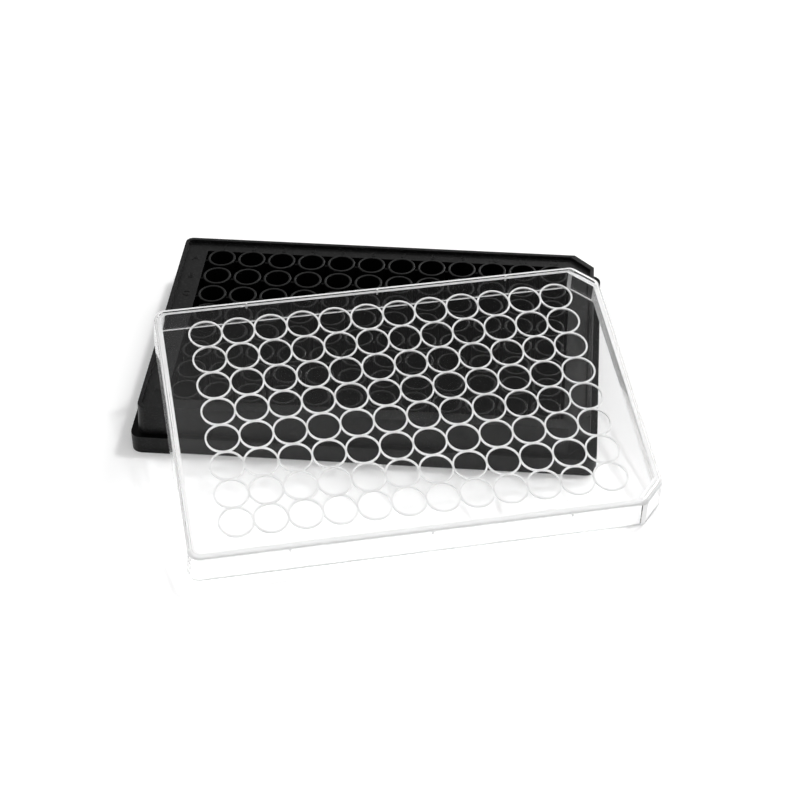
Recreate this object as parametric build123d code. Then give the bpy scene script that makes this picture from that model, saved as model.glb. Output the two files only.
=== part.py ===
from build123d import *
from math import atan2, degrees, sqrt
import os

# Plate: standard microplate footprint, chimney wells on a 9 mm grid. Millimetres throughout.
footprint_length = 127.76
footprint_width = 85.48
plate_height = 14.35
flange_height = 5.5        # stepped foot that a plate gripper and the lid's skirt meet
flange_step = 1.9          # how far the foot stands out from the body above it
flange_radius = 3.0
body_draft = 0.4           # each side leans in by this much from the step to the lip
body_cut = 5.8             # the two cut corners at the column 12 end
body_radius = 2.2          # the two round corners at the column 1 end
wall = 1.3
lip_thickness = 1.1
lip_rise = 1.0             # lip above the deck inside it
deck_thickness = 1.2

# Wells
columns = 12
rows = 8
well_pitch = 9.0
well_diameter = 6.86
well_depth = 10.7
tube_diameter = 8.2        # outside of each chimney
rim_rise = 0.45            # chimney rims above the deck
floor_thickness = 1.1
pit_end_gap = 0.8          # open gap from the end chimneys to the deck
pit_side_overlap = 0.3     # the side chimneys run this far into the pit's wall

# Lid: clear cover with a ring over each well
lid_clearance = 0.25       # round the lip when the lid is on
lid_wall = 1.0
lid_top_thickness = 1.1
skirt_depth = 8.7          # underside of the top down to the skirt's edge
skirt_flare = 0.5          # the skirt opens by this much on each side
lid_edge_radius = 0.5
ring_outer_diameter = 9.45  # over the pitch, so that neighbours share their wall
ring_inner_diameter = 8.45
ring_height = 0.45
guide_rib_width = 0.5
guide_rib_length = 1.6
guide_rib_depth = 0.2
guide_rib_spacing = 37.0

# The lid lies off the plate: one skirt corner on the table, one skirt edge and the rings on the plate
lid_foot_end = 12.92       # that skirt corner beyond the plate's column 12 end
lid_foot_front = 17.86     # and in front of its near side
side_rest_inset = 8.6      # where the skirt crosses the near edge, in from the column 1 end
rest_gap = 0.03
settling_steps = 12

body_length = footprint_length - 2 * flange_step
body_width = footprint_width - 2 * flange_step
top_length = body_length - 2 * body_draft
top_width = body_width - 2 * body_draft
deck_height = plate_height - lip_rise
rim_height = deck_height + rim_rise
well_floor = rim_height - well_depth
pit_length = (columns - 1) * well_pitch + tube_diameter + 2 * pit_end_gap
pit_width = (rows - 1) * well_pitch + tube_diameter - 2 * pit_side_overlap
lid_inner_length = top_length + 2 * lid_clearance
lid_inner_width = top_width + 2 * lid_clearance
lid_cut = body_cut + lid_wall / 2
lid_length = lid_inner_length + 2 * lid_wall + 2 * skirt_flare
lid_width = lid_inner_width + 2 * lid_wall + 2 * skirt_flare
up_from = (Align.CENTER, Align.CENTER, Align.MIN)


def keyed_outline(length, width, cut, radius):
    # a rectangle with two cut corners at +X and two round ones at -X
    outline = Rectangle(length, width)
    outline = chamfer(outline.vertices().group_by(Axis.X)[-1], cut)
    return fillet(outline.vertices().group_by(Axis.X)[0], radius)


def drafted(outline_low, outline_high, low, high):
    return loft([Pos(Z=low) * outline_low, Pos(Z=high) * outline_high], ruled=True)


def plate_outside():
    foot = RectangleRounded(footprint_length, footprint_width, flange_radius)
    low = keyed_outline(body_length, body_width, body_cut, body_radius)
    high = keyed_outline(top_length, top_width, body_cut, body_radius)
    return extrude(foot, flange_height) + drafted(low, high, flange_height, plate_height)


def plate_hollows():
    # the space under the foot and deck, left round the well block, and the recess inside the lip
    foot_length = footprint_length - 2 * wall
    foot_width = footprint_width - 2 * wall
    foot = extrude(RectangleRounded(foot_length, foot_width, flange_radius - wall), flange_height - wall)
    inside = keyed_outline(top_length - 2 * wall, top_width - 2 * wall, body_cut, body_radius - wall)
    under_deck = extrude(inside, deck_height - deck_thickness)
    block = Box(pit_length + 2 * wall, pit_width + 2 * wall, plate_height, align=up_from)
    below_floor = Box(footprint_length, footprint_width, well_floor - floor_thickness, align=up_from)
    recess = keyed_outline(
        top_length - 2 * lip_thickness, top_width - 2 * lip_thickness, body_cut, body_radius - lip_thickness
    )
    recess = extrude(Pos(Z=deck_height) * recess, lip_rise)
    under = foot + under_deck
    return (under - block) + (under & below_floor) + recess


def chimneys():
    grid = GridLocations(well_pitch, well_pitch, columns, rows)
    tube = Cylinder(tube_diameter / 2, well_depth, align=up_from)
    return [Pos(Z=well_floor) * spot * tube for spot in grid]


def well_bores():
    bore = Cylinder(well_diameter / 2, well_depth, align=up_from)
    return [Pos(Z=well_floor) * spot * bore for spot in GridLocations(well_pitch, well_pitch, columns, rows)]


def plate():
    pit = Pos(Z=well_floor) * Box(pit_length, pit_width, plate_height, align=up_from)
    frame = plate_outside() - plate_hollows() - pit
    return frame.fuse(*chimneys()).cut(*well_bores())


def lid_shell():
    inner_low = keyed_outline(
        lid_inner_length + 2 * skirt_flare, lid_inner_width + 2 * skirt_flare, lid_cut, body_radius
    )
    inner_high = keyed_outline(lid_inner_length, lid_inner_width, lid_cut, body_radius)
    low = keyed_outline(lid_length, lid_width, lid_cut, body_radius + lid_wall)
    high = keyed_outline(
        lid_inner_length + 2 * lid_wall, lid_inner_width + 2 * lid_wall, lid_cut, body_radius + lid_wall
    )
    outside = drafted(low, high, 0, skirt_depth + lid_top_thickness)
    outside = fillet(outside.faces().sort_by(Axis.Z)[-1].edges(), lid_edge_radius)
    return outside - drafted(inner_low, inner_high, 0, skirt_depth)


def condensation_rings():
    grid = GridLocations(well_pitch, well_pitch, columns, rows)
    discs = Sketch() + [spot * Circle(ring_outer_diameter / 2) for spot in grid]
    rings = discs - [spot * Circle(ring_inner_diameter / 2) for spot in grid]
    return extrude(Pos(Z=skirt_depth - ring_height) * rings, ring_height)


def guide_ribs():
    # small upright ribs inside the long skirts, which keep the lid centred
    top = skirt_depth
    rib = Box(guide_rib_width, lid_wall, guide_rib_length, align=(Align.CENTER, Align.CENTER, Align.MAX))
    reach = lid_inner_width / 2 + lid_wall / 2 - guide_rib_depth
    return [Pos(x, side * reach, top) * rib for x in (-guide_rib_spacing, 0, guide_rib_spacing) for side in (-1, 1)]


def lid_place():
    # the plane of the skirt's edge, set by its three rests
    foot = Vector(footprint_length / 2 + lid_foot_end, -footprint_width / 2 - lid_foot_front, 0)
    side = Vector(side_rest_inset - top_length / 2, -top_width / 2, plate_height + rest_gap)
    corner = Vector(top_length / 2 - body_cut, -top_width / 2, plate_height + rest_gap)
    up = Vector(0, 0, 1)
    for _ in range(settling_steps):
        under_corner = corner - up * (skirt_depth - ring_height)
        up = (under_corner - foot).cross(side - foot).normalized()
    reach = side - foot
    across = lid_length - lid_cut - lid_wall
    along = sqrt(reach.length**2 - across**2)
    turn = degrees(atan2(along, -across))
    x_dir = reach.normalized().rotate(Axis((0, 0, 0), up), -turn)
    y_dir = up.cross(x_dir)
    middle = foot - x_dir * (lid_length / 2 - lid_cut) + y_dir * (lid_width / 2)
    return Plane(middle, x_dir=x_dir, z_dir=up)


def lid():
    body = lid_shell().fuse(condensation_rings(), *guide_ribs())
    return lid_place().location * body


os.makedirs("parts", exist_ok=True)
export_step(plate(), "parts/plate.step")
export_step(lid(), "parts/lid.step")
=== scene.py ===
import math

import bmesh
import bpy
from mathutils import Matrix, Vector


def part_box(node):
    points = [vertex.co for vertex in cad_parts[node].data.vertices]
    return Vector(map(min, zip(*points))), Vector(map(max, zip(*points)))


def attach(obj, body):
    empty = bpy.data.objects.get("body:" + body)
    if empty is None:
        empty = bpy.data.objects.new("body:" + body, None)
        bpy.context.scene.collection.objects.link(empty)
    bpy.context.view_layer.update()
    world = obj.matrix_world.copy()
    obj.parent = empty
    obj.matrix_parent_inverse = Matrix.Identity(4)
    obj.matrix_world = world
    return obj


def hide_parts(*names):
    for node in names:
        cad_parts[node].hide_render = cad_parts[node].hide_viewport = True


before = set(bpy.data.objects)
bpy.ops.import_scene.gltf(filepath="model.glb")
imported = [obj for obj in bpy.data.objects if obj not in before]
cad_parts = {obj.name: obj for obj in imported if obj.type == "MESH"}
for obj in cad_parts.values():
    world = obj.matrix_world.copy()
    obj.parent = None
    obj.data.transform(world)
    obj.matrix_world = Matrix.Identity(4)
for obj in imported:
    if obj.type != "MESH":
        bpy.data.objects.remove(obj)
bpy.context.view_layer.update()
print("frame loaded")

mm = 0.001
hair = 0.001          # millimetres, the most by which two equal heights differ
cornerSteps = 6       # edges round each corner of an outline
fineSteps = 2         # segments in an edge round of a few tenths of a millimetre
sharpAngle = 40       # degrees, an edge that bends more gets rounded
smoothAngle = 35      # degrees, an edge that bends less is shaded smooth
facing = 0.9          # share of a normal along an axis that counts as facing it
level = 0.05          # and the share that counts as none
wideFaceWeight = 100  # the widest faces set the shading, so flat ones stay flat up to their rounded edges
polystyreneIor = 1.59


def paint(faces, finish):
    for face in faces:
        face.material_index = finish


def newPiece(name, bm, finishes, slot, *nodes):
    # bm is in millimetres, and nodes are the CAD nodes that the piece stands for
    bmesh.ops.scale(bm, vec=(mm, mm, mm), verts=bm.verts)
    mesh = bpy.data.meshes.new(name)
    bm.to_mesh(mesh)
    bm.free()
    for material in finishes:
        mesh.materials.append(material)
    piece = bpy.data.objects.new(name, mesh)
    bpy.context.scene.collection.objects.link(piece)
    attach(piece, "root")
    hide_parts(*nodes)
    weighted = piece.modifiers.new("flat faces", "WEIGHTED_NORMAL")
    weighted.keep_sharp = True
    weighted.weight = wideFaceWeight
    print("made", name, len(mesh.polygons), "faces")


def smoothByAngle(bm):
    for face in bm.faces:
        face.smooth = True
    for edge in bm.edges:
        edge.smooth = edge.is_manifold and edge.calc_face_angle(math.pi) < math.radians(smoothAngle)


def isSharp(edge):
    return edge.calc_face_angle(0) > math.radians(sharpAngle)


def lowEnd(edge):
    return min(v.co.z for v in edge.verts)


def highEnd(edge):
    return max(v.co.z for v in edge.verts)


def splitEvenly(edge, parts):
    pieces = [edge]
    for left in range(parts, 1, -1):
        longest = max(pieces, key=lambda e: e.calc_length())
        pieces.append(bmesh.utils.edge_split(longest, longest.verts[0], 1 / left)[0])


def roundCorners(bm, corners, size, steps):
    bmesh.ops.bevel(
        bm, geom=corners, offset=size, offset_type="OFFSET", affect="VERTICES",
        segments=steps, profile=0.5, material=-1,
    )


def outline(bm, z, length, width, rightSize, leftSize, rightIsCut=True):
    # a closed loop of edges, with the sizes of its corners at +X and at -X
    before = set(bm.verts)
    bmesh.ops.create_grid(bm, x_segments=1, y_segments=1, size=0.5)
    made = [v for v in bm.verts if v not in before]
    bmesh.ops.scale(bm, vec=(length, width, 1), verts=made)
    bmesh.ops.translate(bm, vec=(0, 0, z), verts=made)
    right = [v for v in made if v.co.x > 0]
    left = [v for v in made if v.co.x < 0]
    roundCorners(bm, right, rightSize, 1 if rightIsCut else cornerSteps)
    roundCorners(bm, left, leftSize, cornerSteps)
    face = next(v for v in bm.verts if v not in before).link_faces[0]
    if rightIsCut:
        # the cut gets as many points as an arc, so that loops bridge one to one
        for edge in face.edges:
            start, end = (v.co for v in edge.verts)
            if min(start.x, end.x) > 0 and start.x != end.x and start.y != end.y:
                splitEvenly(edge, cornerSteps)
    edges = list(face.edges)
    bmesh.ops.delete(bm, geom=[face], context="FACES_ONLY")
    return edges


def loopsToSolid(bm, loops):
    # flat rings come before walls, because a loop that already carries a wall can bridge twisted
    def rise(pair):
        return abs(pair[0][0].verts[0].co.z - pair[1][0].verts[0].co.z)

    for one, following in sorted(zip(loops, loops[1:]), key=rise):
        bmesh.ops.bridge_loops(bm, edges=one + following)
    for end in (loops[0], loops[-1]):
        bmesh.ops.contextual_create(bm, geom=end)
    bmesh.ops.recalc_face_normals(bm, faces=bm.faces)


def roundEdges(bm, edges, size, steps, finish):
    rounded = bmesh.ops.bevel(
        bm, geom=edges, offset=size, offset_type="OFFSET", affect="EDGES",
        segments=steps, profile=0.5, material=-1, clamp_overlap=True,
    )
    paint(rounded["faces"], finish)
    return rounded["faces"]


def block(length, width, bottom, top, y=0):
    part = bmesh.new()
    bmesh.ops.create_cube(part, size=1)
    bmesh.ops.scale(part, vec=(length, width, top - bottom), verts=part.verts)
    bmesh.ops.translate(part, vec=(0, y, (top + bottom) / 2), verts=part.verts)
    return part


def gridPlaces(columns, rows, pitch):
    for column in range(columns):
        for row in range(rows):
            yield (column - (columns - 1) / 2) * pitch, ((rows - 1) / 2 - row) * pitch


def addCopies(bm, part, places):
    # part is a finished bmesh, put into bm once at each (x, y)
    mesh = bpy.data.meshes.new("part")
    part.to_mesh(mesh)
    part.free()
    for x, y in places:
        mesh.transform(Matrix.Translation((x, y, 0)))
        bm.from_mesh(mesh)
        mesh.transform(Matrix.Translation((-x, -y, 0)))
    bpy.data.meshes.remove(mesh)


# sizes in both dictionaries of pieces are in millimetres
wellPlate = {
    "columns": 12,
    "rows": 8,
    "pitch": 9.0,
    "bore": 6.86,          # diameter
    "tube": 8.2,           # diameter
    "tubeSides": 32,
    "rimRise": 0.45,       # above the deck
    "rimRound": 0.17,
    "depth": 10.7,         # below the rims
    "boreLift": 0.02,      # keeps a bore's floor off the pit's
    "webThickness": 0.8,
    "webDrop": 1.2,        # below the rims
    "webBite": 0.25,       # into each tube's wall
    "flangeHeight": 5.5,
    "flangeStep": 1.9,     # the flange stands this far out from the body
    "flangeRadius": 3.0,
    "draft": 0.4,          # the body's walls lean in by this
    "cut": 5.8,            # the body's corners at +X
    "radius": 2.2,         # and at -X
    "wall": 1.3,
    "lip": 1.1,
    "lipRise": 1.0,        # above the deck
    "deck": 1.2,           # thickness
    "floor": 1.1,          # thickness under the pit
    "pitLength": 108.8,
    "pitWidth": 70.6,
    "pitCorner": 0.3,
    "edgeRound": 0.18,
    "rowLetters": "ABCDEFGH",
    "letterHeight": 2.3,
    "capitalShare": 0.7,   # of the type size that a capital fills
    "letterStands": 0.14,  # above the deck
    "letterSinks": 0.05,
    "letterRound": 0.06,
    "letterRoundSteps": 1,
    "letterCurveSteps": 3,
    "lettersAt": -57.4,
    "numbersAt": 37.3,
}

frameFace, paintedShadeFace = 0, 1


def plateFrame(deckTop, pitFloor):
    # outside, lip, deck, pit and the hollow underside, as one chain of loops
    low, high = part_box("plate")
    length, width, height = (high - low) / mm
    size = wellPlate
    flange, wall, lip, draft = size["flangeHeight"], size["wall"], size["lip"], size["draft"]
    bodyLength, bodyWidth = length - 2 * size["flangeStep"], width - 2 * size["flangeStep"]
    pitLength, pitWidth = size["pitLength"], size["pitWidth"]
    underDeck = deckTop - size["deck"]
    bm = bmesh.new()

    def foot(z, inset):
        radius = size["flangeRadius"] - inset
        return outline(bm, z, length - 2 * inset, width - 2 * inset, radius, radius, rightIsCut=False)

    def body(z, lean, inset):
        shrink = 2 * (lean + inset)
        return outline(bm, z, bodyLength - shrink, bodyWidth - shrink, size["cut"], size["radius"] - inset)

    def pit(z, grow):
        corner = size["pitCorner"]
        return outline(bm, z, pitLength + 2 * grow, pitWidth + 2 * grow, corner, corner)

    loopsToSolid(bm, [
        pit(pitFloor, 0),
        pit(deckTop, 0),
        body(deckTop, draft, lip),
        body(height, draft, lip),
        body(height, draft, 0),
        body(flange, 0, 0),
        foot(flange, 0),
        foot(0, 0),
        foot(0, wall),
        foot(flange - wall, wall),
        body(flange - wall, draft, wall),
        body(underDeck, draft, wall),
        pit(underDeck, wall),
        pit(pitFloor - size["floor"], wall),
    ])
    roundEdges(bm, [e for e in bm.edges if isSharp(e)], size["edgeRound"], fineSteps, frameFace)
    # the pit and the flange's ledge take the darker copy, painted shade
    for face in bm.faces:
        middle = face.calc_center_median()
        inPit = abs(middle.x) < pitLength / 2 + hair and abs(middle.y) < pitWidth / 2 + hair
        onLedge = face.normal.z > facing and abs(middle.z - flange) < hair
        if onLedge or inPit and middle.z < deckTop - size["edgeRound"]:
            face.material_index = paintedShadeFace
    return bm


def chimney(bottom, floorTop, rimTop):
    # a capped cylinder, its top inset to the bore and pushed down to the well's bottom
    part = bmesh.new()
    outer, inner = wellPlate["tube"] / 2, wellPlate["bore"] / 2
    rimRound = wellPlate["rimRound"]
    bmesh.ops.create_cone(
        part, cap_ends=True, segments=wellPlate["tubeSides"],
        radius1=outer, radius2=outer, depth=rimTop - bottom,
    )
    bmesh.ops.translate(part, vec=(0, 0, (rimTop + bottom) / 2), verts=part.verts)
    top = max(part.faces, key=lambda f: f.calc_center_median().z)
    bmesh.ops.inset_region(part, faces=[top], thickness=outer - inner)
    moved = bmesh.ops.extrude_face_region(part, geom=[top])["geom"]
    bmesh.ops.delete(part, geom=[top], context="FACES")
    boreFloor = [v for v in moved if isinstance(v, bmesh.types.BMVert)]
    bmesh.ops.translate(part, vec=(0, 0, floorTop - rimTop), verts=boreFloor)
    bmesh.ops.recalc_face_normals(part, faces=part.faces)
    rim = [e for e in part.edges if lowEnd(e) > rimTop - hair and isSharp(e)]
    roundEdges(part, rim, rimRound, fineSteps, frameFace)
    # the tube below the rim's round takes the darker copy, painted shade
    paint([f for f in part.faces if f.calc_center_median().z < rimTop - rimRound], paintedShadeFace)
    return part


def web(length, width, bottom, top):
    part = block(length, width, bottom, top)
    # the webs take the darker copy, painted shade
    paint(part.faces, paintedShadeFace)
    return part


def addMark(bm, words, x, y, deckTop):
    size = wellPlate
    stands, sinks = size["letterStands"], size["letterSinks"]
    curve = bpy.data.curves.new("mark", "FONT")
    curve.body = words
    curve.size = size["letterHeight"] / size["capitalShare"]
    curve.align_x = "CENTER"
    curve.align_y = "CENTER"
    curve.bevel_depth = size["letterRound"]
    curve.bevel_resolution = size["letterRoundSteps"]
    curve.offset = -size["letterRound"]
    curve.extrude = (stands + sinks) / 2 - size["letterRound"]
    curve.resolution_u = size["letterCurveSteps"]
    holder = bpy.data.objects.new("mark", curve)
    bpy.context.scene.collection.objects.link(holder)
    bpy.context.view_layer.update()
    mesh = bpy.data.meshes.new_from_object(holder)
    bpy.data.objects.remove(holder)
    mesh.transform(Matrix.Translation((x, y, deckTop + (stands - sinks) / 2)))
    bm.from_mesh(mesh)
    bpy.data.meshes.remove(mesh)


def makePlate(finishes):
    size = wellPlate
    columns, rows, pitch = size["columns"], size["rows"], size["pitch"]
    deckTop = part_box("plate")[1].z / mm - size["lipRise"]
    rimTop = deckTop + size["rimRise"]
    pitFloor = rimTop - size["depth"]
    inFloor = pitFloor - size["floor"] / 2
    bm = plateFrame(deckTop, pitFloor)
    addCopies(bm, chimney(inFloor, pitFloor + size["boreLift"], rimTop), gridPlaces(columns, rows, pitch))
    webLength = pitch - size["tube"] + 2 * size["webBite"]
    webTop = rimTop - size["webDrop"]
    thickness = size["webThickness"]
    addCopies(bm, web(webLength, thickness, inFloor, webTop), gridPlaces(columns + 1, rows, pitch))
    addCopies(bm, web(thickness, webLength, inFloor, webTop), gridPlaces(columns, rows - 1, pitch))
    smoothByAngle(bm)
    for letter, place in zip(size["rowLetters"], gridPlaces(1, rows, pitch)):
        addMark(bm, letter, size["lettersAt"], place[1], deckTop)
    for number, place in enumerate(gridPlaces(columns, 1, pitch), start=1):
        addMark(bm, str(number), place[0], size["numbersAt"], deckTop)
    newPiece("wellPlate", bm, finishes, "black_polystyrene", "plate")


lidCover = {
    "topThickness": 1.1,
    "wall": 1.0,
    "flare": 0.5,          # the skirt leans out by this towards its edge
    "cut": 6.3,            # the corners at +X
    "outerRadius": 3.2,    # and at -X
    "innerRadius": 2.2,
    "edgeRound": 1.2,
    "edgeSteps": 5,
    "cutRound": 0.9,       # the upright edges of the cut corners
    "cutSteps": 3,
    "innerRound": 0.85,    # the fillet under the top, by how far in and how far down it reaches
    "innerDrop": 0.3,
    "skirtRound": 0.3,
    "ringOuter": 9.45,     # diameter
    "ringInner": 8.45,     # diameter
    "ringHeight": 0.45,
    "ringSink": 0.05,      # into the top
    "ringRound": 0.12,
    "ringSides": 48,
    "ribsEachSide": 3,
    "ribSpacing": 37.0,
    "ribWidth": 0.5,
    "ribLength": 1.6,
    "ribDepth": 0.2,
    "ribBite": 0.3,        # into the skirt and the top
}

# faces 1 to 3 carry painted light: white on the rings and edges, and white streaks of painted sheen on the
# end walls
paintedLightFace, drawnLinesAndSheenFace, paintedRimLightFace = 1, 2, 3  # the rest of the lid is plain and clear, 0


def lidPlace():
    # the lid's own axes, read off its CAD solid: x along the skirt, z out of the top,
    # with the origin in the plane of the skirt's edge
    bm = bmesh.new()
    bm.from_mesh(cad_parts["lid"].data)
    bmesh.ops.remove_doubles(bm, verts=bm.verts, dist=hair * mm)
    up = max((f for f in bm.faces if f.normal.z > facing), key=lambda f: f.calc_area()).normal.copy()
    longest = max((e for e in bm.edges if isSharp(e)), key=lambda e: e.calc_length())
    along = longest.verts[1].co - longest.verts[0].co
    along = (along if along.x > 0 else -along).normalized()
    across = up.cross(along).normalized()
    along = across.cross(up)
    axes = (along, across, up)
    low = [min(axis.dot(v.co) for v in bm.verts) for axis in axes]
    high = [max(axis.dot(v.co) for v in bm.verts) for axis in axes]
    bm.free()
    middle = along * (low[0] + high[0]) / 2 + across * (low[1] + high[1]) / 2 + up * low[2]
    turn = Matrix(axes).transposed().to_4x4()
    return Matrix.Translation(middle / mm) @ turn, [(b - a) / mm for a, b in zip(low, high)]


def condensationRing(underside):
    # spun from its section, with its root sunk a little into the lid's top
    part = bmesh.new()
    inner, outer = lidCover["ringInner"] / 2, lidCover["ringOuter"] / 2
    low, high = underside - lidCover["ringHeight"], underside + lidCover["ringSink"]
    section = ((inner, high), (outer, high), (outer, low), (inner, low))
    corners = [part.verts.new((radius, 0, z)) for radius, z in section]
    part.faces.new(corners)
    roundCorners(part, corners[2:], lidCover["ringRound"], fineSteps)
    bmesh.ops.delete(part, geom=part.faces[:], context="FACES_ONLY")
    bmesh.ops.spin(
        part, geom=part.verts[:] + part.edges[:], cent=(0, 0, 0), axis=(0, 0, 1),
        angle=math.tau, steps=lidCover["ringSides"], use_merge=True,
    )
    bmesh.ops.recalc_face_normals(part, faces=part.faces)
    # painted highlight: the ring is mostly white
    paint(part.faces, paintedLightFace)
    return part


def guideRib(side, reach, underside):
    depth = lidCover["ribDepth"] + lidCover["ribBite"]
    y = side * (reach - lidCover["ribDepth"] + depth / 2)
    part = block(
        lidCover["ribWidth"], depth, underside - lidCover["ribLength"], underside + lidCover["ribBite"], y,
    )
    # painted highlight: the rib is mostly white
    paint(part.faces, paintedLightFace)
    return part


def lidShell(length, width, height, underside):
    size = lidCover
    flare, wall, drop = size["flare"], size["wall"], size["innerDrop"]
    bm = bmesh.new()

    def outer(z, lean):
        return outline(bm, z, length - 2 * lean, width - 2 * lean, size["cut"], size["outerRadius"])

    def inner(z, lean):
        inset = 2 * (wall + lean)
        return outline(bm, z, length - inset, width - inset, size["cut"], size["innerRadius"])

    loopsToSolid(bm, [
        outer(height, flare),
        outer(0, 0),
        inner(0, 0),
        inner(underside - drop, flare * (1 - drop / underside)),
        inner(underside, flare + size["innerRound"]),
    ])
    filletMiddle = underside - drop / 2
    # painted highlight: the fillet under the top is mostly white; the end walls take the streaks of painted
    # sheen
    for face in bm.faces:
        if abs(face.calc_center_median().z - filletMiddle) < drop / 4:
            face.material_index = paintedLightFace
        elif abs(face.normal.x) > facing:
            face.material_index = drawnLinesAndSheenFace
    upright = [e for e in bm.edges if isSharp(e) and highEnd(e) > height - hair and lowEnd(e) < hair]
    # painted highlight: the upright edges of the cuts are mostly white
    roundEdges(bm, upright, size["cutRound"], size["cutSteps"], paintedLightFace)
    top = [e for e in bm.edges if isSharp(e) and lowEnd(e) > height - hair]
    # painted highlight: the round top edge is partly white
    rim = roundEdges(bm, top, size["edgeRound"], size["edgeSteps"], paintedRimLightFace)
    # the round top edge at the end walls takes the drawn finish, with its painted sheen
    paint([f for f in rim if abs(f.normal.y) < level], drawnLinesAndSheenFace)
    skirt = [e for e in bm.edges if isSharp(e) and highEnd(e) < hair]
    # painted highlight: the skirt's edges are mostly white
    roundEdges(bm, skirt, size["skirtRound"], fineSteps, paintedLightFace)
    return bm


def makeLid(finishes):
    place, (length, width, height) = lidPlace()
    underside = height - lidCover["topThickness"]
    bm = lidShell(length, width, height, underside)
    wells = gridPlaces(wellPlate["columns"], wellPlate["rows"], wellPlate["pitch"])
    addCopies(bm, condensationRing(underside), wells)
    reach = width / 2 - lidCover["wall"] - lidCover["flare"]
    ribPlaces = list(gridPlaces(lidCover["ribsEachSide"], 1, lidCover["ribSpacing"]))
    for side in (-1, 1):
        addCopies(bm, guideRib(side, reach, underside), ribPlaces)
    smoothByAngle(bm)
    bmesh.ops.transform(bm, matrix=place, verts=bm.verts)
    newPiece("lidCover", bm, finishes, "clear_polystyrene", "lid")


def linear(hexColour):
    # the curve of the sRGB standard
    channels = [int(hexColour[i:i + 2], 16) / 255 for i in (1, 3, 5)]
    return [c / 12.92 if c <= 0.04045 else ((c + 0.055) / 1.055) ** 2.4 for c in channels] + [1.0]


def addNode(tree, kind, inputs=None, **settings):
    # inputs holds, for each socket, a fixed value or the output that feeds it
    node = tree.nodes.new(kind)
    for name, value in settings.items():
        setattr(node, name, value)
    for name, value in (inputs or {}).items():
        if isinstance(value, bpy.types.NodeSocket):
            tree.links.new(value, node.inputs[name])
        else:
            node.inputs[name].default_value = value
    return node


def newMaterial(name):
    material = bpy.data.materials.new(name)
    material.use_nodes = True
    material.node_tree.nodes.clear()
    return material, material.node_tree


blackFinish = {
    "colour": "#070707",
    "paler": "#202020",       # the specks
    "speckFrom": 0.5,         # share of the noise where a speck starts, and where it is palest
    "speckTo": 0.7,
    "cloud": 14.0,            # mm, slow changes of gloss
    "cloudFrom": 0.3,
    "cloudTo": 0.7,
    "cloudDetail": 3.0,
    "cloudRoughness": 0.55,
    "grain": 0.5,             # mm, drawn coarser than the real 0.1 mm so that it shows at this distance
    "grainDetail": 2.0,
    "grainRoughness": 0.6,
    "grainDepth": 0.05,       # mm
    "grainStrength": 0.5,
    "gloss": (0.34, 0.44),    # roughness, from one end of the cloud to the other
    "shine": 0.15,            # specular level
    # the copy for the wells, pit, webs and ledge: darker and with less shine, painted shade
    "wellColour": "#050505",
    "wellPaler": "#070707",
    "wellGrainDepth": 0.005,  # mm
    "wellGloss": (0.30, 0.36),
    "wellShine": 0.04,
}


def mouldedBlack(name, colour, paler, gloss, shine, grainDepth):
    material, tree = newMaterial(name)
    finish = blackFinish
    place = addNode(tree, "ShaderNodeTexCoord").outputs["Object"]
    grain = addNode(tree, "ShaderNodeTexNoise", {
        "Vector": place, "Scale": 1 / (finish["grain"] * mm),
        "Detail": finish["grainDetail"], "Roughness": finish["grainRoughness"],
    })
    cloud = addNode(tree, "ShaderNodeTexNoise", {
        "Vector": place, "Scale": 1 / (finish["cloud"] * mm),
        "Detail": finish["cloudDetail"], "Roughness": finish["cloudRoughness"],
    })
    speck = addNode(tree, "ShaderNodeMapRange", {
        "Value": grain.outputs["Fac"], "From Min": finish["speckFrom"], "From Max": finish["speckTo"],
    })
    mixed = addNode(tree, "ShaderNodeMix", {
        "Factor": speck.outputs["Result"], "A": linear(colour), "B": linear(paler),
    }, data_type="RGBA")
    rough = addNode(tree, "ShaderNodeMapRange", {
        "Value": cloud.outputs["Fac"], "From Min": finish["cloudFrom"], "From Max": finish["cloudTo"],
        "To Min": gloss[0], "To Max": gloss[1],
    })
    bump = addNode(tree, "ShaderNodeBump", {
        "Height": grain.outputs["Fac"], "Strength": finish["grainStrength"], "Distance": grainDepth * mm,
    })
    shader = addNode(tree, "ShaderNodeBsdfPrincipled", {
        "Base Color": mixed.outputs["Result"], "Roughness": rough.outputs["Result"],
        "Normal": bump.outputs["Normal"], "IOR": polystyreneIor, "Specular IOR Level": shine,
    })
    addNode(tree, "ShaderNodeOutputMaterial", {"Surface": shader.outputs["BSDF"]})
    return material


def sparkErodedBlackPolystyrene():
    # moulded against a spark-eroded steel face: a dark satin skin with a fine even sparkle
    finish = blackFinish
    return mouldedBlack(
        "spark eroded black polystyrene", finish["colour"], finish["paler"],
        finish["gloss"], finish["shine"], finish["grainDepth"],
    )


def pinMouldedBlackPolystyrene():
    # a darker copy with little shine and a finer grain: painted shade that darkens the wells, the pit, the
    # webs and the flange's ledge
    finish = blackFinish
    return mouldedBlack(
        "black polystyrene with painted shade", finish["wellColour"], finish["wellPaler"],
        finish["wellGloss"], finish["wellShine"], finish["wellGrainDepth"],
    )


clearFinish = {
    # white for the share that isn't clear: a painted highlight on the rings and edges, painted sheen in the
    # drawn lines
    "colour": "#FCFCFC",
    "roughness": 0.03,
    "shadow": "#FAFAFA",   # the light that each surface lets through to what lies under it
    "ringClear": 0.06,     # share of the rings and inner edges that stays clear
    "rimClear": 0.35,      # and of the outer edges
    "drawnClear": 0.15,    # and of the end walls in the strongest drawn line
    "drawnFrom": 0.48,     # share of the noise where a line starts, and where it is strongest
    "drawnTo": 0.57,
    "drawnWidth": 0.5,     # mm
    "drawnLength": 60.0,   # mm
    "drawnDetail": 2.0,
    "drawnRoughness": 0.6,
}


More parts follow.
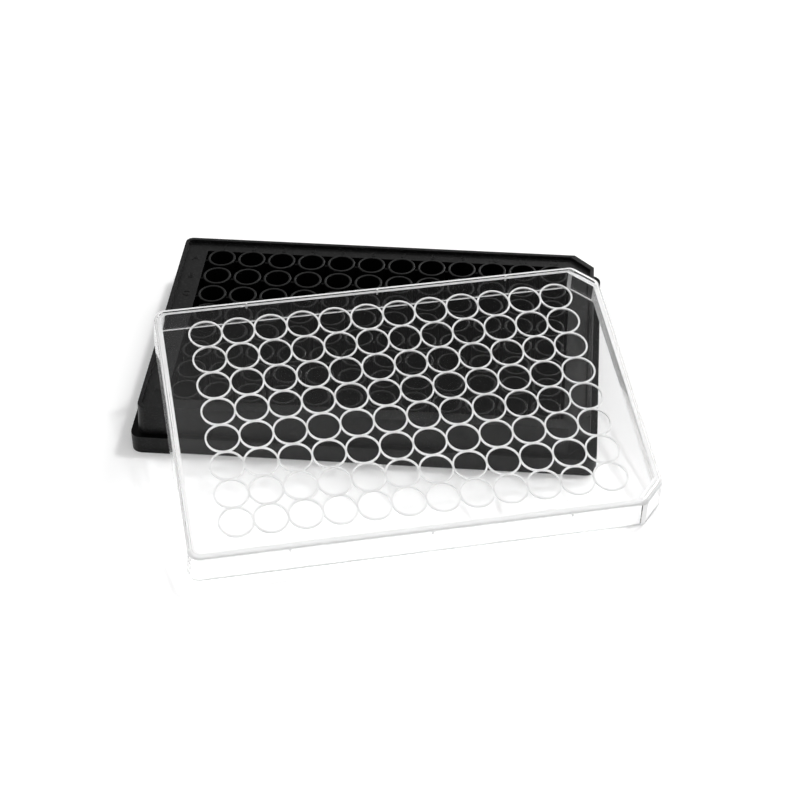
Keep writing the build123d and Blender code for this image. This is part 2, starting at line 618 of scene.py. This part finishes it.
def finishClear(tree, clear, shadowClear):
    # glossy plastic, white where it isn't clear, that lets the lamps shine through
    finish = clearFinish
    shader = addNode(tree, "ShaderNodeBsdfPrincipled", {
        "Base Color": linear(finish["colour"]), "Roughness": finish["roughness"], "IOR": polystyreneIor,
        "Transmission Weight": clear,
    })
    shadow = [channel * shadowClear for channel in linear(finish["shadow"])[:3]] + [1.0]
    see = addNode(tree, "ShaderNodeBsdfTransparent", {"Color": shadow})
    rays = addNode(tree, "ShaderNodeLightPath")
    mix = addNode(tree, "ShaderNodeMixShader", {
        0: rays.outputs["Is Shadow Ray"], 1: shader.outputs["BSDF"], 2: see.outputs["BSDF"],
    })
    addNode(tree, "ShaderNodeOutputMaterial", {"Surface": mix.outputs["Shader"]})


def mouldedClearPolystyrene():
    # crystal polystyrene from a polished mould: clear and glossy
    material, tree = newMaterial("moulded clear polystyrene")
    finishClear(tree, 1.0, 1.0)
    return material


def litClearPolystyrene(name, clear):
    # white painted on the rings and moulded edges, a painted highlight for the light that runs inside the
    # lid and comes out there, so they read as white lines
    material, tree = newMaterial(name)
    finishClear(tree, clear, clear)
    return material


def drawnClearPolystyrene(turn):
    # the mould's end walls keep long polishing lines; white painted along them, a painted sheen, gives the
    # bright streaks seen along the wall
    material, tree = newMaterial("drawn clear polystyrene with painted sheen")
    finish = clearFinish
    place = addNode(tree, "ShaderNodeTexCoord").outputs["Object"]
    lined = addNode(tree, "ShaderNodeMapping", {"Vector": place, "Rotation": turn}, vector_type="TEXTURE")
    thin = 1 / (finish["drawnWidth"] * mm)
    long = 1 / (finish["drawnLength"] * mm)
    squeeze = addNode(tree, "ShaderNodeVectorMath", {
        0: lined.outputs["Vector"], 1: (thin, long, thin),
    }, operation="MULTIPLY")
    lines = addNode(tree, "ShaderNodeTexNoise", {
        "Vector": squeeze.outputs["Vector"], "Scale": 1.0,
        "Detail": finish["drawnDetail"], "Roughness": finish["drawnRoughness"],
    })
    clear = addNode(tree, "ShaderNodeMapRange", {
        "Value": lines.outputs["Fac"], "From Min": finish["drawnFrom"], "From Max": finish["drawnTo"],
        "To Min": 1.0, "To Max": finish["drawnClear"],
    })
    finishClear(tree, clear.outputs["Result"], 1.0)
    return material


floorPaper = {
    "reach": 4.0,          # metres each way
    "drop": 0.02,          # mm under the object
    "colour": "#F2F2F2",
    "seen": "#FFFFFF",
    "lift": 0.08,          # added where it is seen, so that the paper reads white right across
}


def mattePaper():
    # white paper sweep; seen directly it is a little brighter than the light it passes on
    material, tree = newMaterial("matte white paper")
    rays = addNode(tree, "ShaderNodeLightPath")
    direct = addNode(tree, "ShaderNodeMath", {
        0: rays.outputs["Is Camera Ray"], 1: rays.outputs["Is Glossy Ray"],
    }, operation="MAXIMUM")
    seen = addNode(tree, "ShaderNodeMath", {
        0: direct.outputs[0], 1: rays.outputs["Is Transmission Ray"],
    }, operation="MAXIMUM")
    colour = addNode(tree, "ShaderNodeMix", {
        "Factor": seen.outputs[0], "A": linear(floorPaper["colour"]), "B": linear(floorPaper["seen"]),
    }, data_type="RGBA")
    lift = addNode(tree, "ShaderNodeMath", {0: seen.outputs[0], 1: floorPaper["lift"]}, operation="MULTIPLY")
    shader = addNode(tree, "ShaderNodeBsdfPrincipled", {
        "Base Color": colour.outputs["Result"], "Roughness": 1.0, "Specular IOR Level": 0.0,
        "Emission Color": linear(floorPaper["seen"]), "Emission Strength": lift.outputs[0],
    })
    addNode(tree, "ShaderNodeOutputMaterial", {"Surface": shader.outputs["BSDF"]})
    return material


def makeFloor():
    bm = bmesh.new()
    bmesh.ops.create_grid(bm, x_segments=1, y_segments=1, size=floorPaper["reach"])
    bmesh.ops.translate(bm, vec=(0, 0, -floorPaper["drop"] * mm), verts=bm.verts)
    mesh = bpy.data.meshes.new("floor")
    bm.to_mesh(mesh)
    bm.free()
    mesh.materials.append(mattePaper())
    floor = bpy.data.objects.new("floor", mesh)
    bpy.context.scene.collection.objects.link(floor)
    print("floor laid")


studio = {
    "surround": 0.85,              # a white tent all round
    "card": 0.08,                  # a black card in it, behind and above, for the lid's top to mirror
    "cardAt": (0.05, 0.61, 0.79),  # the way to it
    "cardRadius": 6,               # degrees, fully dark
    "cardFade": 22,                # degrees, where the tent is white again
    "aim": (0, -0.02, 0),          # metres, where the lamps point
    "lamps": {
        # place and size in metres, power in watts
        "top": ((0.5, 0.35, 1.2), 0.14, 6),
        "back": ((0.4, 1.0, 0.75), 0.3, 4),
    },
}


def makeWorld():
    world = bpy.data.worlds.new("studio")
    bpy.context.scene.world = world
    world.use_nodes = True
    tree = world.node_tree
    tree.nodes.clear()
    look = addNode(tree, "ShaderNodeTexCoord").outputs["Generated"]
    toCard = Vector(studio["cardAt"]).normalized()
    near = addNode(tree, "ShaderNodeVectorMath", {0: look, 1: toCard}, operation="DOT_PRODUCT")
    strength = addNode(tree, "ShaderNodeMapRange", {
        "Value": near.outputs["Value"],
        "From Min": math.cos(math.radians(studio["cardFade"])),
        "From Max": math.cos(math.radians(studio["cardRadius"])),
        "To Min": studio["surround"], "To Max": studio["card"],
    }, interpolation_type="SMOOTHSTEP")
    light = addNode(tree, "ShaderNodeBackground", {"Strength": strength.outputs["Result"]})
    addNode(tree, "ShaderNodeOutputWorld", {"Surface": light.outputs["Background"]})


def makeLamps():
    aim = Vector(studio["aim"])
    for name, (place, size, power) in studio["lamps"].items():
        data = bpy.data.lights.new(name, "AREA")
        data.shape = "SQUARE"
        data.size = size
        data.energy = power
        lamp = bpy.data.objects.new(name, data)
        lamp.location = place
        lamp.rotation_euler = (aim - Vector(place)).to_track_quat("-Z", "Y").to_euler()
        bpy.context.scene.collection.objects.link(lamp)
    print("lit by the tent and", len(studio["lamps"]), "lamps")


camera = {
    "aim": (8.09, -14.24, 0.0),  # mm
    "distance": 563.0,           # mm
    "elevation": 39.52,          # degrees
    "azimuth": 5.43,
    "roll": -0.45,
    "lens": 89.12,
    "sensor": 36,
    "clip": (0.01, 20),          # metres
}


def makeCamera():
    data = bpy.data.cameras.new("camera")
    data.lens = camera["lens"]
    data.sensor_width = camera["sensor"]
    data.clip_start, data.clip_end = camera["clip"]
    eye = bpy.data.objects.new("camera", data)
    azimuth, elevation, roll = (math.radians(camera[name]) for name in ("azimuth", "elevation", "roll"))
    along = math.cos(elevation)
    back = Vector((math.sin(azimuth) * along, -math.cos(azimuth) * along, math.sin(elevation)))
    turn = (-back).to_track_quat("-Z", "Y").to_matrix() @ Matrix.Rotation(roll, 3, "Z")
    eye.location = (Vector(camera["aim"]) + back * camera["distance"]) * mm
    eye.rotation_euler = turn.to_euler()
    bpy.context.scene.collection.objects.link(eye)
    bpy.context.scene.camera = eye
    print("camera set")


# finishes are listed in the order of the face numbers above
makePlate([sparkErodedBlackPolystyrene(), pinMouldedBlackPolystyrene()])
makeLid([
    mouldedClearPolystyrene(),
    litClearPolystyrene("clear polystyrene with painted highlight on sharp edges", clearFinish["ringClear"]),
    drawnClearPolystyrene(lidPlace()[0].to_euler()),
    litClearPolystyrene("clear polystyrene with painted highlight on round edges", clearFinish["rimClear"]),
])
makeFloor()
makeWorld()
makeLamps()
makeCamera()
bpy.context.scene.view_settings.view_transform = "Standard"
